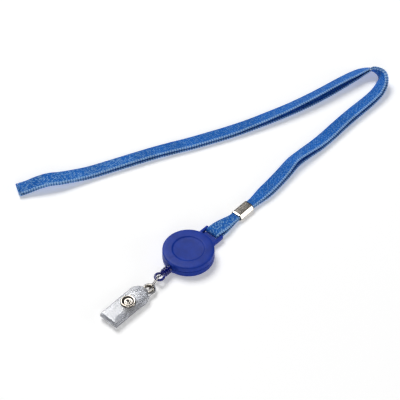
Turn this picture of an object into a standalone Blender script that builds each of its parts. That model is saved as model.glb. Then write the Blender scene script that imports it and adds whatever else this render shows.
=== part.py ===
"""A lanyard badge holder: a retractable badge reel with a clear snap strap, on a folded neck lanyard.

Frame: the origin is the centre of the reel's flat back, +Z is out of its front cover, and +Y runs from
the badge strap towards the lanyard. The holder lies on the plane z = 0. Lengths below are millimetres,
and the objects are built in metres.
"""

import math

import bmesh
import bpy
import numpy as np
from mathutils import Matrix, Vector

MM = 0.001
GAP = 0.3                   # clearance between touching pieces

# Reel housing
REEL_RADIUS = 16.0
REEL_HEIGHT = 8.0
WALL = 1.3
FLOOR = 1.2
EDGE_ROUND = 1.4
PARTING = 4.05              # height of the seam between the two covers
RECESS_RADIUS = 10.0        # shallow round label recess in the front cover
RECESS_DEPTH = 0.4
POST_RADIUS = 2.0
POST_TOP = 6.35
CORD_HEIGHT = 4.0           # height of the cord, its outlet and the plug's axis

# Cord outlet, a ridged snout moulded half in each cover
SNOUT_BASE = 14.9
SNOUT_TIP = 16.6
SNOUT_RADII = (5.2, 4.5, 4.7, 3.9, 4.1, 3.2)
OUTLET_RADIUS = 0.75
OUTLET_FLARE = 3.1           # the bore opens inwards, where the cord comes in at a slant

# Slotted lug for the lanyard
LUG_BAR_Y = 23.3
LUG_BAR_Z = 2.6
LUG_BAR_RADIUS = 1.0
LUG_HALF_WIDTH = 6.9
LUG_EAR = 1.7
LUG_WEB_END = 20.4           # the plate between the ears ends here, and the slot begins
LUG_WEB_BOTTOM = 1.3
LUG_WEB_TOP = 2.4

# Spool and spring
SPOOL_RADIUS = 14.1
SPOOL_BOTTOM = 1.5
SPOOL_TOP = 6.4
FLANGE = 0.6
DRUM_INNER = 9.0
DRUM_OUTER = 9.8
HUB_RADIUS = 3.2
SPRING_TURNS = 6.5
SPRING_STRIP = 0.3
SPRING_HEIGHT = 2.9

# Pull-out cord and its plug
CORD_RADIUS = 0.3
WINDING_RADIUS = 12.6
PLUG_START = 16.9
PLUG_END = 23.4
PLUG_RADIUS = 2.6
PLUG_RIB = 0.35
EYE_Y = 25.8
EYE_MAJOR = 2.7
EYE_MINOR = 0.8
PLUG_BORE = 0.5
KNOT_RADIUS = 0.58
KNOT_Y = 24.9

# Wire link between the plug's eye and the strap's eyelet
WIRE_RADIUS = 0.45
LINK_END_RADIUS = 2.4
LINK_NEAR_Y = EYE_Y + EYE_MAJOR
LINK_FAR_Y = 33.5
LINK_FAR_Z = 2.75
LINK_LEAN = math.radians(32)

# Clear vinyl strap, folded once, with its eyelet and snap
STRAP_WIDTH = 12.7
VINYL = 0.8
LOWER_Z = 1.25              # mid-thickness height of the lower leg at the snap
UPPER_Z = 4.45              # and of the flap above it
EYELET_X = 1.1
EYELET_Y = 36.2
EYELET_Z = 2.55
SNAP_Y = 53.0
FOLD_Y = 68.7
FLAP_END_Y = 38.4
EYELET_HOLE = 2.15
EYELET_FLANGE = 3.5
NECK_HALF_WIDTH = 4.3       # the lower leg is narrower round its eyelet
NECK_END_Y = 39.5
SHOULDER_Y = 45.0
SNAP_RADIUS = 4.7

# Braided lanyard and its crimp
BRAID_WIDTH = 9.5
BRAID_THICKNESS = 1.1
BRAID_SPACING = 1.5         # centre to centre of the two layers where they lie flat on each other
CRIMP_START = 43.0
CRIMP_END = 55.5
CRIMP_X = 1.2
CRIMP_Z = 2.45
CRIMP_HALF_WIDTH = 4.3
CRIMP_HALF_HEIGHT = 2.25
CRIMP_WALL = 0.45
BRAID_IN_CRIMP = 6.0        # the braid is squeezed narrower inside the crimp
BRAID_STEP = 3.5
TABLE_GAP = 0.1             # the braid lies this far clear of the plane z = 0

# Route of the doubled lanyard from the crimp to the neck fold, chosen along the way it lies:
# x, y, z of the middle of the two layers, their roll about the route, and how far they fan open
# on the outer edge, both in degrees. At roll 180 the layers have turned over.
LANYARD_ROUTE = [
    (1.2, 55.5, 2.45, 0, 0), (1.1, 61, 2.1, 3, 2), (0.8, 68, 2.0, 6, 6),
    (0.1, 80, 2.2, 8, 8), (-1.2, 92, 2.4, 10, 10), (-2.6, 103, 2.9, 17, 14),
    (-2.2, 114, 2.7, 14, 12), (-1.5, 125, 2.2, 8, 10), (-1.4, 135, 2.1, 6, 8),
    (-1.8, 146, 2.2, 8, 9), (-2.1, 158, 2.3, 10, 10), (-2.0, 170, 2.4, 11, 10),
    (-1.8, 181, 2.6, 15, 8), (-2.2, 190, 3.2, 22, 5), (-4.2, 197.2, 4.2, 38, 3),
    (-7.8, 202.4, 4.9, 66, 1), (-12.2, 204.3, 5, 104, 0), (-17.6, 204, 4.6, 134, 0),
    (-21.4, 198.6, 4.1, 151, 2), (-23.6, 190.2, 4.1, 160, 9), (-25.9, 179.6, 4, 163, 17),
    (-28.3, 167.2, 3.8, 165, 21), (-31.3, 154.3, 3.5, 166, 20), (-35.5, 139.6, 3, 167, 16),
    (-40.5, 124.8, 2.6, 170, 12), (-45.8, 110.5, 2.2, 171, 8), (-51.4, 97.0, 1.9, 175, 6),
    (-57.5, 84.0, 1.8, 176, 5), (-63.7, 71.4, 1.75, 176, 5), (-70.2, 59.4, 1.8, 175, 6),
    (-76.4, 47.0, 1.9, 174, 7), (-82.2, 34.4, 1.9, 174, 7), (-87.8, 22.0, 1.9, 175, 6),
    (-93.3, 9.5, 2.2, 177, 4), (-97.8, 0.0, 3.2, 180, 2), (-102.2, -8.8, 4.6, 183, 0),
    (-106.2, -14.8, 5.2, 184, 0), (-109.8, -20.6, 4.4, 183, 0), (-113.2, -26.2, 2.8, 180, 2),
    (-116.0, -31.2, 2.1, 180, 4),
]


# ---------------------------------------------------------------- helpers

def material(name, colour, roughness, metallic=0.0, transmission=0.0):
    mat = bpy.data.materials.new(name)
    mat.use_nodes = True
    shader = mat.node_tree.nodes["Principled BSDF"]
    shader.inputs["Base Color"].default_value = (*colour, 1.0)
    shader.inputs["Roughness"].default_value = roughness
    shader.inputs["Metallic"].default_value = metallic
    shader.inputs["Transmission Weight"].default_value = transmission
    return mat


def add(name, bm, mat, smooth=True):
    """An object from a bmesh in millimetres."""
    bmesh.ops.scale(bm, vec=(MM, MM, MM), verts=bm.verts)
    bmesh.ops.recalc_face_normals(bm, faces=bm.faces)
    mesh = bpy.data.meshes.new(name)
    bm.to_mesh(mesh)
    bm.free()
    if smooth:
        mesh.shade_smooth()
        mesh.set_sharp_from_angle(angle=math.radians(35))
    mesh.materials.append(mat)
    obj = bpy.data.objects.new(name, mesh)
    bpy.context.scene.collection.objects.link(obj)
    return obj


def skin(rings, closed_path=False, cap=True):
    """A bmesh through rings of points, each ring closed; a ring of one point is a pole."""
    bm = bmesh.new()
    loops = [[bm.verts.new(p) for p in ring] for ring in rings]
    pairs = list(zip(loops, loops[1:]))
    if closed_path:
        pairs.append((loops[-1], loops[0]))
    for a, b in pairs:
        count = max(len(a), len(b))
        for i in range(count):
            j = (i + 1) % count
            corners = [a[i % len(a)], a[j % len(a)], b[j % len(b)], b[i % len(b)]]
            bm.faces.new(list(dict.fromkeys(corners)))
    if cap and not closed_path:
        for loop in (loops[0], loops[-1]):
            if len(loop) > 2:
                bm.faces.new(loop)
    return bm


def turned(profile, segments=64):
    """A closed profile of (radius, height) points, turned about Z; points at radius 0 are poles."""
    rings = []
    for radius, height in profile:
        if radius == 0:
            rings.append([(0, 0, height)])
        else:
            angles = (math.tau * i / segments for i in range(segments))
            rings.append([(radius * math.cos(a), radius * math.sin(a), height) for a in angles])
    has_pole = any(len(r) == 1 for r in rings)
    return skin(rings, closed_path=not has_pole, cap=False)


def arc(centre, radius, start, end, steps):
    """Points of an arc, with angles in degrees."""
    points = []
    for i in range(steps + 1):
        a = math.radians(start + (end - start) * i / steps)
        points.append((centre[0] + radius * math.cos(a), centre[1] + radius * math.sin(a)))
    return points


def prism(outline, low, high):
    """A flat outline in X and Y, raised from one height to another."""
    return skin([[(x, y, low) for x, y in outline], [(x, y, high) for x, y in outline]])


def rotated(bm, angle, axis, centre=(0, 0, 0)):
    bmesh.ops.rotate(bm, verts=bm.verts, cent=centre, matrix=Matrix.Rotation(angle, 3, axis))
    return bm


def moved(bm, offset):
    bmesh.ops.translate(bm, verts=bm.verts, vec=offset)
    return bm


def guide(name, bm):
    """A shape that only cuts or joins another one, and isn't a piece itself."""
    obj = add(name, bm, MATERIALS["reel_plastic"], smooth=False)
    obj.hide_render = True
    obj.display_type = "WIRE"
    return obj


def combine(obj, other, operation):
    modifier = obj.modifiers.new(other.name, "BOOLEAN")
    modifier.operation = operation
    modifier.object = other
    modifier.solver = "EXACT"


def body_empty(name, origin, parent=None):
    """An empty at a joint's axis; the pieces of that body are parented to it."""
    empty = bpy.data.objects.new(name, None)
    empty.location = Vector(origin) * MM
    bpy.context.scene.collection.objects.link(empty)
    bpy.context.view_layer.update()
    if parent is not None:
        attach(empty, parent)
    return empty


def attach(child, parent):
    bpy.context.view_layer.update()
    child.parent = parent
    child.matrix_parent_inverse = parent.matrix_world.inverted()


# ---------------------------------------------------------------- reel

def build_back_cover():
    """The lower shell, with the spindle post, the lanyard lug and its half of the snout."""
    inner = REEL_RADIUS - WALL
    top = PARTING - GAP / 2
    corner = arc((REEL_RADIUS - 0.8, 0.8), 0.8, -90, 0, 4)
    profile = [(0, 0), *corner, (REEL_RADIUS, top), (inner, top), (inner, FLOOR)]
    profile += [(POST_RADIUS, FLOOR), (POST_RADIUS, POST_TOP), (0, POST_TOP)]
    cover = add("back_cover", turned(profile, 48), MATERIALS["reel_plastic"])
    combine(cover, guide("back_lug", lug_shape()), "UNION")
    combine(cover, guide("back_lug_bar", lug_bar_shape()), "UNION")
    combine(cover, guide("back_lug_web", lug_web_shape()), "UNION")
    combine(cover, guide("back_snout", snout_shape(upper=False)), "UNION")
    combine(cover, guide("back_outlet", outlet_shape()), "DIFFERENCE")
    slot = prism([(-0.35, -3), (0.35, -3), (0.35, 3), (-0.35, 3)], 2.0, POST_TOP + 1)
    combine(cover, guide("back_post_slot", slot), "DIFFERENCE")
    return cover


def lug_shape():
    """Two ears out from the shell's wall; the bar joins their ends."""
    bm = bmesh.new()
    far = LUG_BAR_Y + LUG_BAR_RADIUS + 0.2
    for side in (-1, 1):
        outer, inner = side * LUG_HALF_WIDTH, side * (LUG_HALF_WIDTH - LUG_EAR)
        near = 13.9
        outline = [(outer, near), (outer, far - 0.8), (outer - side * 0.8, far), (inner, far), (inner, near)]
        ear = prism(outline, 1.3, PARTING - GAP / 2 - 0.1)
        mesh = bpy.data.meshes.new("ear")
        bmesh.ops.recalc_face_normals(ear, faces=ear.faces)
        ear.to_mesh(mesh)
        ear.free()
        bm.from_mesh(mesh)
        bpy.data.meshes.remove(mesh)
    return bm


def lug_web_shape():
    """The plate between the ears, from the shell's wall to the slot."""
    in_wall = arc((0, 0), REEL_RADIUS - WALL + 0.3, 114, 66, 8)
    reach = in_wall[-1][0]
    outline = [*in_wall, (reach, LUG_WEB_END), (-reach, LUG_WEB_END)]
    return prism(outline, LUG_WEB_BOTTOM, LUG_WEB_TOP)


def lug_bar_shape():
    reach = LUG_HALF_WIDTH - LUG_EAR / 2
    bar = turned([(0, -reach), (LUG_BAR_RADIUS, -reach), (LUG_BAR_RADIUS, reach), (0, reach)], 16)
    return moved(rotated(bar, math.pi / 2, "Y"), (0, LUG_BAR_Y, LUG_BAR_Z))


def snout_shape(upper):
    """The upper or the lower half of the ridged snout, its axis on -Y."""
    step = (SNOUT_TIP - SNOUT_BASE) / (len(SNOUT_RADII) - 1)
    seam = CORD_HEIGHT + (0.25 if upper else -0.15)
    first, low, high = (0, seam, 7.4) if upper else (180, 0.5, seam)
    rings = []
    for i, radius in enumerate(SNOUT_RADII):
        outline = arc((0, CORD_HEIGHT), radius, first, first + 180, 14)
        rings.append([(x, -(SNOUT_BASE + step * i), min(max(z, low), high)) for x, z in outline])
    return skin(rings)


def outlet_shape():
    inside, throat = SNOUT_BASE - 0.5, SNOUT_TIP - 0.7
    profile = [(0, 12), (OUTLET_FLARE, 12), (OUTLET_FLARE, inside), (OUTLET_RADIUS, throat)]
    bore = turned([*profile, (OUTLET_RADIUS, 20), (0, 20)], 16)
    return moved(rotated(bore, math.pi / 2, "X"), (0, 0, CORD_HEIGHT))


def build_front_cover():
    """The upper shell, domed at its rim, with the round label recess and a socket for the post."""
    inner = REEL_RADIUS - WALL
    low = PARTING + GAP / 2
    ceiling = REEL_HEIGHT - WALL
    recess = REEL_HEIGHT - RECESS_DEPTH
    rim = arc((REEL_RADIUS - EDGE_ROUND, REEL_HEIGHT - EDGE_ROUND), EDGE_ROUND, 90, 0, 6)
    profile = [(0, recess), (RECESS_RADIUS - 0.3, recess), (RECESS_RADIUS + 0.1, REEL_HEIGHT), *rim]
    profile += [(REEL_RADIUS, low), (inner, low), (inner, ceiling), (POST_RADIUS + GAP, ceiling)]
    profile += [(POST_RADIUS + GAP, ceiling + 0.25), (0, ceiling + 0.25)]
    cover = add("front_cover", turned(profile, 48), MATERIALS["reel_plastic"])
    combine(cover, guide("front_snout", snout_shape(upper=True)), "UNION")
    combine(cover, guide("front_outlet", outlet_shape()), "DIFFERENCE")
    return cover


def build_spool():
    """A cup that holds the spring, with two flanges for the cord. It turns on the post."""
    bore = POST_RADIUS + GAP
    top_plate = SPOOL_TOP - FLANGE
    profile = [
        (bore, SPOOL_TOP), (SPOOL_RADIUS, SPOOL_TOP), (SPOOL_RADIUS, top_plate), (DRUM_OUTER, top_plate),
        (DRUM_OUTER, SPOOL_BOTTOM + FLANGE), (SPOOL_RADIUS, SPOOL_BOTTOM + FLANGE),
        (SPOOL_RADIUS, SPOOL_BOTTOM), (DRUM_INNER, SPOOL_BOTTOM), (DRUM_INNER, top_plate),
        (HUB_RADIUS, top_plate), (HUB_RADIUS, top_plate - 0.35), (bore, top_plate - 0.35),
    ]
    return add("spool", turned(profile, 40), MATERIALS["spool_plastic"])


def build_mainspring():
    """A spiral power spring between the post and the drum."""
    first, last = POST_RADIUS + 1.75, DRUM_INNER - 0.65
    low = SPOOL_BOTTOM + 0.95
    per_turn = 16
    count = int(SPRING_TURNS * per_turn)
    rings = []
    for i in range(count + 1):
        a = math.tau * i / per_turn
        radius = first + (last - first) * i / count
        x, y = math.cos(a), math.sin(a)
        inside, outside = radius - SPRING_STRIP / 2, radius + SPRING_STRIP / 2
        rings.append([
            (inside * x, inside * y, low), (outside * x, outside * y, low),
            (outside * x, outside * y, low + SPRING_HEIGHT), (inside * x, inside * y, low + SPRING_HEIGHT),
        ])
    return add("mainspring", skin(rings), MATERIALS["spring_steel"])


def build_spring_cover_disc():
    """The thin disc that keeps the spring in its cup."""
    inner, outer = POST_RADIUS + GAP, DRUM_INNER - GAP
    profile = [(inner, 1.55), (outer, 1.55), (outer, 2.0), (inner, 2.0)]
    return add("spring_cover_disc", turned(profile, 32), MATERIALS["spool_plastic"])


def build_cord_winding():
    """The cord wound on the spool, as one ring of its outer shape."""
    low, high = SPOOL_BOTTOM + FLANGE + GAP, SPOOL_TOP - FLANGE - GAP
    inner = DRUM_OUTER + GAP
    profile = [(inner, low), (WINDING_RADIUS, low), (WINDING_RADIUS, high), (inner, high)]
    return add("cord_winding", turned(profile, 32), MATERIALS["cord_nylon"])


def tube(points, radius, sides=8):
    """A closed tube through points, square to its own direction."""
    line = [Vector(p) for p in points]
    rings = []
    for i, p in enumerate(line):
        along = (line[min(i + 1, len(line) - 1)] - line[max(i - 1, 0)]).normalized()
        side = along.cross(Vector((0, 0, 1))).normalized()
        up = side.cross(along)
        angles = (math.tau * k / sides for k in range(sides))
        rings.append([p + radius * (math.cos(a) * side + math.sin(a) * up) for a in angles])
    return skin(rings)


def build_cord_lead():
    """The free end of the cord, from its tangent on the winding out to the knot in the plug."""
    leave = WINDING_RADIUS + CORD_RADIUS + GAP
    swing = math.acos(leave / SNOUT_TIP)
    start = Vector((-leave * math.sin(swing), -leave * math.cos(swing), CORD_HEIGHT))
    bend = Vector((0, -SNOUT_TIP + 0.9, CORD_HEIGHT))
    points = [start, start.lerp(bend, 0.5), start.lerp(bend, 0.92), bend + Vector((-0.05, -0.35, 0))]
    end_y = -KNOT_Y + KNOT_RADIUS + GAP
    points += [(0, -SNOUT_TIP, CORD_HEIGHT), (0, -20, CORD_HEIGHT), (0, end_y, CORD_HEIGHT)]
    return add("cord_lead", tube(points, CORD_RADIUS), MATERIALS["cord_nylon"])


# ---------------------------------------------------------------- plug and link

def build_cord_knot():
    """The stopper knot behind the plug's bore, inside its eye."""
    bm = bmesh.new()
    bmesh.ops.create_icosphere(bm, subdivisions=2, radius=KNOT_RADIUS)
    return add("cord_knot", moved(bm, (0, -KNOT_Y, CORD_HEIGHT)), MATERIALS["cord_nylon"])


def build_end_plug():
    """A ribbed barrel with an eye at its end; the cord runs through its bore."""
    profile = [(0, -PLUG_END), (PLUG_RADIUS - 0.9, -PLUG_END), (PLUG_RADIUS - 0.2, -PLUG_END + 0.8)]
    ribs = 3
    pitch = (PLUG_END - PLUG_START - 1.6) / ribs
    for i in range(ribs):
        y = -PLUG_END + 1.2 + pitch * i
        profile += [(PLUG_RADIUS - PLUG_RIB, y), (PLUG_RADIUS + 0.1, y + 0.35)]
        profile += [(PLUG_RADIUS + 0.1, y + pitch - 0.65), (PLUG_RADIUS - PLUG_RIB, y + pitch - 0.3)]
    profile += [(PLUG_RADIUS - 0.5, -PLUG_START), (0, -PLUG_START)]
    barrel = rotated(turned(profile, 24), -math.pi / 2, "X")
    plug = add("end_plug", moved(barrel, (0, 0, CORD_HEIGHT)), MATERIALS["plug_plastic"])
    ring = turned(arc((EYE_MAJOR, 0), EYE_MINOR, 0, 324, 9), 24)
    combine(plug, guide("plug_eye", moved(ring, (0, -EYE_Y, CORD_HEIGHT))), "UNION")
    hole = prism(arc((0, -EYE_Y), EYE_MAJOR - EYE_MINOR, 0, 345, 23), 0, REEL_HEIGHT)
    combine(plug, guide("plug_eye_hole", hole), "DIFFERENCE")
    bore = turned([(0, 15), (PLUG_BORE, 15), (PLUG_BORE, EYE_Y), (0, EYE_Y)], 12)
    bore = moved(rotated(bore, math.pi / 2, "X"), (0, 0, CORD_HEIGHT))
    combine(plug, guide("plug_bore", bore), "DIFFERENCE")
    return plug


def build_wire_link():
    """An oval link of round wire, leaning over as it lies."""
    ends = [(LINK_NEAR_Y, 1), (LINK_FAR_Y, -1)]
    line = []
    for y, way in ends:
        for i in range(13):
            a = math.pi * i / 12
            line.append((-y + way * LINK_END_RADIUS * math.sin(a), way * LINK_END_RADIUS * math.cos(a)))
    sides = 10
    rings = []
    for i, (y, h) in enumerate(line):
        before, after = line[i - 1], line[(i + 1) % len(line)]
        along = Vector((0, after[0] - before[0], after[1] - before[1])).normalized()
        out = Vector((1, 0, 0)).cross(along)
        centre = Vector((0, y, h))
        side = Vector((1, 0, 0))
        angles = (math.tau * k / sides for k in range(sides))
        rings.append([centre + WIRE_RADIUS * (math.cos(a) * out + math.sin(a) * side) for a in angles])
    link = rotated(skin(rings, closed_path=True), LINK_LEAN, "Y")
    drop = math.atan2(CORD_HEIGHT - LINK_FAR_Z, LINK_FAR_Y - LINK_NEAR_Y)
    link = rotated(link, drop, "X", (0, -LINK_NEAR_Y, 0))
    turn = math.atan2(EYELET_X, EYELET_Y - LINK_NEAR_Y)
    link = rotated(link, turn, "Z", (0, -LINK_NEAR_Y, 0))
    return add("wire_link", moved(link, (0, 0, CORD_HEIGHT)), MATERIALS["bright_wire"])


# ---------------------------------------------------------------- clear strap and snap

def leg_outline(end_y, end_half, steps=14):
    """Half the width of a leg at stations from its round end to its full width."""
    stations = []
    for i in range(steps + 1):
        a = math.pi / 2 * i / steps
        stations.append((end_y + end_half - end_half * math.cos(a), max(0.9, end_half * math.sin(a))))
    if end_half < STRAP_WIDTH / 2:
        for i in range(9):
            share = i / 8
            ease = share * share * (3 - 2 * share)
            y = NECK_END_Y + (SHOULDER_Y - NECK_END_Y) * share
            stations.append((y, end_half + (STRAP_WIDTH / 2 - end_half) * ease))
    return stations


def strap_leg(end_y, end_half, height, centre):
    """A leg of the strap from its round end to the fold."""
    stations = leg_outline(end_y, end_half)
    straight = 8
    last = stations[-1][0]
    for i in range(1, straight + 1):
        stations.append((last + (FOLD_Y - last) * i / straight, STRAP_WIDTH / 2))
    rings = []
    for y, half in stations:
        x, z = centre(y), height(y)
        rings.append([
            (x - half, -y, z - VINYL / 2), (x + half, -y, z - VINYL / 2),
            (x + half, -y, z + VINYL / 2), (x - half, -y, z + VINYL / 2),
        ])
    return skin(rings)


def lower_leg_height(y):
    """The lower leg lifts towards the eyelet, which hangs on the link."""
    share = min(1.0, max(0.0, (SNAP_Y - 6 - y) / (SNAP_Y - 6 - EYELET_Y - 3)))
    return LOWER_Z + (EYELET_Z - LOWER_Z) * share * share * (3 - 2 * share)


def hole_cutter(name, x, y, radius):
    return guide(name, prism(arc((x, -y), radius, 0, 345, 23), -1, 9))


def lower_centre(y):
    """The lower leg is in line with the flap up to the snap, and skews from there to the eyelet."""
    share = min(1.0, max(0.0, (SNAP_Y - y) / (SNAP_Y - EYELET_Y)))
    return EYELET_X * share * share * (3 - 2 * share)


def build_strap_lower_leg():
    shape = strap_leg(EYELET_Y - NECK_HALF_WIDTH, NECK_HALF_WIDTH, lower_leg_height, lower_centre)
    leg = add("badge_strap_lower_leg", shape, MATERIALS["clear_vinyl"])
    combine(leg, hole_cutter("lower_eyelet_hole", EYELET_X, EYELET_Y, EYELET_HOLE + 0.35 + GAP), "DIFFERENCE")
    combine(leg, hole_cutter("lower_snap_hole", lower_centre(SNAP_Y), SNAP_Y, 1.5), "DIFFERENCE")
    return leg


def build_strap_flap():
    shape = strap_leg(FLAP_END_Y, STRAP_WIDTH / 2, lambda y: UPPER_Z, lambda y: 0.0)
    leg = add("badge_strap_flap", shape, MATERIALS["clear_vinyl"])
    combine(leg, hole_cutter("flap_snap_hole", 0, SNAP_Y, 2.0), "DIFFERENCE")
    return leg


def build_strap_fold():
    """The bend between the two legs."""
    centre_z = (LOWER_Z + UPPER_Z) / 2
    radius = (UPPER_Z - LOWER_Z) / 2
    start = FOLD_Y + GAP
    rings = []
    for i in range(13):
        a = math.pi / 2 + math.pi * i / 12
        y, z = math.cos(a), math.sin(a)
        near, far = radius - VINYL / 2, radius + VINYL / 2
        rings.append([
            (-STRAP_WIDTH / 2, -start + near * y, centre_z + near * z),
            (STRAP_WIDTH / 2, -start + near * y, centre_z + near * z),
            (STRAP_WIDTH / 2, -start + far * y, centre_z + far * z),
            (-STRAP_WIDTH / 2, -start + far * y, centre_z + far * z),
        ])
    return add("badge_strap_fold", skin(rings), MATERIALS["clear_vinyl"])


def build_strap_eyelet():
    """A rolled eyelet: a top flange and the barrel that runs down through the strap."""
    under = VINYL / 2 + GAP
    top = under + 0.55
    foot = -under - 0.4
    inner, barrel = EYELET_HOLE, EYELET_HOLE + 0.35
    profile = [(inner, foot), (inner, top - 0.3), *arc((EYELET_HOLE + 0.75, top - 0.35), 0.35, 150, 90, 2)]
    profile += [(EYELET_FLANGE - 0.3, top - 0.15), (EYELET_FLANGE, under + 0.1), (EYELET_FLANGE - 0.1, under)]
    profile += [(barrel, under), (barrel, foot)]
    eyelet = turned(profile, 24)
    return add("strap_eyelet", moved(eyelet, (EYELET_X, -EYELET_Y, EYELET_Z)), MATERIALS["nickel"])


def build_eyelet_washer():
    """The washer that the eyelet is set against, under the strap."""
    under = -VINYL / 2 - GAP
    inner = EYELET_HOLE + 0.35 + GAP
    profile = [(inner, under - 0.45), (EYELET_FLANGE - 0.2, under - 0.45), (EYELET_FLANGE, under - 0.2)]
    profile += [(EYELET_FLANGE, under), (inner, under)]
    washer = moved(turned(profile, 24), (EYELET_X, -EYELET_Y, EYELET_Z))
    return add("strap_eyelet_washer", washer, MATERIALS["nickel"])


def at_snap(bm, x):
    return moved(bm, (x, -SNAP_Y, 0))


def build_snap_cap():
    """The rolled-centre ring on top of the flap; its barrel goes down through the flap."""
    flange = UPPER_Z + VINYL / 2 + GAP
    foot = UPPER_Z - VINYL / 2 - 0.45
    profile = [(0.55, foot), (0.55, flange + 0.55), (0.8, flange + 0.8), (1.25, flange + 0.8)]
    profile += [(1.7, flange + 0.35), (3.1, flange + 0.3), (3.6, flange + 0.75)]
    profile += [(4.2, flange + 0.8), (SNAP_RADIUS, flange + 0.35)]
    profile += [(SNAP_RADIUS, flange), (1.65, flange), (1.65, foot)]
    return add("snap_cap", at_snap(turned(profile, 24), 0), MATERIALS["nickel"])


def build_snap_socket():
    """The socket under the flap that grips the stud."""
    top = UPPER_Z - VINYL / 2 - GAP
    profile = [(1.95, top), (4.4, top), (4.5, top - 0.3), (3.2, top - 0.75), (2.9, top - 1.1)]
    profile += [(2.45, top - 1.1), (2.3, top - 0.9), (2.45, top - 0.55), (1.95, top - 0.4)]
    return add("snap_socket", at_snap(turned(profile, 24), 0), MATERIALS["nickel"])


def build_snap_stud():
    """The stud on the lower leg, its head inside the socket."""
    base = LOWER_Z + VINYL / 2 + GAP
    head = UPPER_Z - VINYL / 2 - GAP - 0.95
    profile = [(1.1, base), (4.2, base), (4.2, base + 0.3), (2.2, base + 0.45), (1.6, base + 0.5)]
    profile += [(1.6, head - 0.1), (1.75, head + 0.1), (1.6, head + 0.35), (1.1, head + 0.35)]
    return add("snap_stud", at_snap(turned(profile, 24), lower_centre(SNAP_Y)), MATERIALS["nickel"])


def build_snap_post():
    """The post under the lower leg, set up through it into the stud."""
    high = LOWER_Z - VINYL / 2 - GAP
    top = LOWER_Z + VINYL / 2 + GAP + 0.6
    profile = [(0, 0.05), (3.9, 0.05), (4.1, 0.2), (4.1, high), (0.8, high), (0.8, top), (0, top)]
    return add("snap_post", at_snap(turned(profile, 24), lower_centre(SNAP_Y)), MATERIALS["nickel"])


# ---------------------------------------------------------------- lanyard

def smooth(rows, step):
    """A Catmull-Rom curve through rows of numbers whose first three are a position."""
    table = np.array(rows, float)
    ends = np.vstack([2 * table[0] - table[1], table, 2 * table[-1] - table[-2]])
    knots = np.concatenate([[0], np.cumsum(np.linalg.norm(np.diff(ends[:, :3], axis=0), axis=1) ** 0.5)])
    out = []
    for i in range(1, len(ends) - 2):
        p0, p1, p2, p3 = ends[i - 1:i + 3]
        t0, t1, t2, t3 = knots[i - 1:i + 3]
        pieces = max(1, round(float(np.linalg.norm((p2 - p1)[:3])) / step))
        for k in range(pieces):
            t = t1 + (t2 - t1) * k / pieces
            a1 = (t1 - t) / (t1 - t0) * p0 + (t - t0) / (t1 - t0) * p1
            a2 = (t2 - t) / (t2 - t1) * p1 + (t - t1) / (t2 - t1) * p2
            a3 = (t3 - t) / (t3 - t2) * p2 + (t - t2) / (t3 - t2) * p3
            b1 = (t2 - t) / (t2 - t0) * a1 + (t - t0) / (t2 - t0) * a2
            b2 = (t3 - t) / (t3 - t1) * a2 + (t - t1) / (t3 - t1) * a3
            out.append((t2 - t) / (t2 - t1) * b1 + (t - t1) / (t2 - t1) * b2)
    out.append(table[-1])
    return np.array(out)


def unit(v):
    return v / np.linalg.norm(v)


def braid_half_width(y_from_crimp):
    """The braid spreads from the crimp to its full width."""
    share = min(1.0, max(0.0, y_from_crimp / 18))
    share = share * share * (3 - 2 * share)
    return (BRAID_IN_CRIMP + (BRAID_WIDTH - BRAID_IN_CRIMP) * share) / 2


def lanyard_layers():
    """Stations (centre, width direction, face normal, half width) of the two layers, crimp to neck."""
    rows = smooth(LANYARD_ROUTE, BRAID_STEP)
    centres = rows[:, :3]
    up = np.array([0, 0, 1.0])
    travelled = np.concatenate([[0], np.cumsum(np.linalg.norm(np.diff(centres, axis=0), axis=1))])
    first, second = [], []
    for i, (x, y, z, roll, fan) in enumerate(rows):
        along = unit(centres[min(i + 1, len(rows) - 1)] - centres[max(i - 1, 0)])
        side = unit(np.cross(along, up))
        over = np.cross(side, along)
        half = braid_half_width(travelled[i])
        spacing = BRAID_SPACING + half * math.sin(math.radians(fan))
        middle = math.radians(roll)
        normal = math.cos(middle) * over - math.sin(middle) * side
        pair = []
        for way in (1, -1):
            own = middle + way * math.radians(fan) / 2
            width = math.cos(own) * side + math.sin(own) * over
            face = math.cos(own) * over - math.sin(own) * side
            pair.append((np.array([x, y, z]) + way * spacing / 2 * normal, width, face, half))
        lowest = min(point[2] for station in pair for point in braid_ring(station))
        lift = max(0.0, TABLE_GAP - lowest) * up
        for layers, (centre, width, face, half) in zip((first, second), pair):
            layers.append((centre + lift, width, face, half))
    return first, second


def bend_between(start, end, width, half, outward, steps):
    """Stations of the half turn that joins two layers."""
    middle = (start + end) / 2
    radius = (start - end) / 2
    reach = unit(outward) * np.linalg.norm(radius)
    stations = []
    for i in range(1, steps):
        a = math.pi * i / steps
        offset = math.cos(a) * radius + math.sin(a) * reach
        stations.append((middle + offset, width, unit(offset), half))
    return stations


def lug_loop():
    """Stations from the crimp's lower layer, under and round the lug's bar, to its upper layer."""
    layer = BRAID_SPACING / 2
    wrap = LUG_BAR_RADIUS + 0.25 + BRAID_THICKNESS / 2
    width = np.array([1.0, 0, 0])
    up = np.array([0, 0, 1.0])
    lower, upper = [], []
    count = 6
    for i in range(count + 1):
        share = i / count
        ease = share * share * (3 - 2 * share)
        y = CRIMP_START + (LUG_BAR_Y - CRIMP_START) * share
        x = CRIMP_X * (1 - share)
        z = CRIMP_Z + (LUG_BAR_Z - CRIMP_Z) * share
        off = layer + (wrap - layer) * ease
        half = braid_half_width((CRIMP_START - y) * 1.2)
        lower.append((np.array([x, y, z - off]), width, -up, half))
        upper.append((np.array([x, y, z + off]), width, up, half))
    bend = bend_between(lower[-1][0], upper[-1][0], width, BRAID_WIDTH / 2, np.array([0, -1.0, 0]), 8)
    return lower + bend + upper[::-1]


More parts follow.
